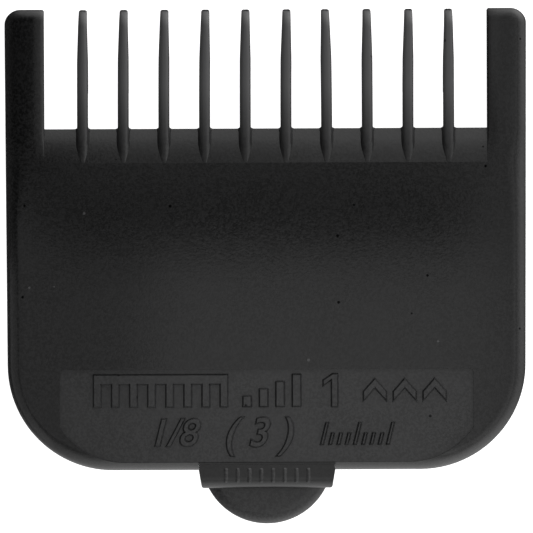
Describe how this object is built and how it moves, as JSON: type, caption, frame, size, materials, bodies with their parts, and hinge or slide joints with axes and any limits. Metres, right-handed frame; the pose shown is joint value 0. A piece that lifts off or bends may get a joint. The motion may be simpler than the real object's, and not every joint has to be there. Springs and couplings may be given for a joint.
{
  "type": "clipper guard comb",
  "caption": "Short-cut attachment comb for a hair clipper: flat plate with rounded back corners, comb teeth between two arms, and a sprung thumb latch at the back.",
  "frame": {"origin": "centre of the bounding box, on the plane of the side walls' rims", "axes": "+X to the right seen from the skin side, +Y the way the teeth point, +Z out of the skin side"},
  "size_m": [0.0508, 0.0502, 0.008],
  "materials": {
    "comb_nylon": "black moulded nylon with a fine satin grain",
    "tooth_nylon": "black moulded nylon, polished a little by use",
    "panel_nylon": "black moulded nylon, smoother than the plate around it",
    "latch_nylon": "black moulded nylon with a satin grain"
  },
  "bodies": {
    "comb": {"cover_plate": "comb_nylon", "size_label_panel": "panel_nylon", "left_arm": "comb_nylon", "right_arm": "comb_nylon", "left_side_wall": "comb_nylon", "right_side_wall": "comb_nylon", "back_wall_left": "comb_nylon", "back_wall_right": "comb_nylon", "tooth_01": "tooth_nylon", "tooth_02": "tooth_nylon", "tooth_03": "tooth_nylon", "tooth_04": "tooth_nylon", "tooth_05": "tooth_nylon", "tooth_06": "tooth_nylon", "tooth_07": "tooth_nylon", "tooth_08": "tooth_nylon", "tooth_09": "tooth_nylon", "tooth_10": "tooth_nylon", "blade_rib_left": "comb_nylon", "blade_rib_centre": "comb_nylon", "blade_rib_right": "comb_nylon", "left_blade_hook": "comb_nylon", "right_blade_hook": "comb_nylon", "left_blade_stop": "comb_nylon", "right_blade_stop": "comb_nylon", "heel_stop_left": "comb_nylon", "heel_stop_right": "comb_nylon", "hinge_web": "latch_nylon"},
    "release_latch": {"release_block": "latch_nylon", "latch_wall": "latch_nylon", "thumb_tongue": "latch_nylon", "heel_catch": "latch_nylon", "latch_gusset_left": "latch_nylon", "latch_gusset_right": "latch_nylon"}
  },
  "joints": [
    {"name": "latch_flex", "type": "hinge", "parent": "comb", "child": "release_latch", "pos_m": [0, -0.0191, 0.00758], "axis": [-1, 0, 0], "range_deg": [0, 10], "stiffness_Nm_per_rad": 0.2}
  ]
}
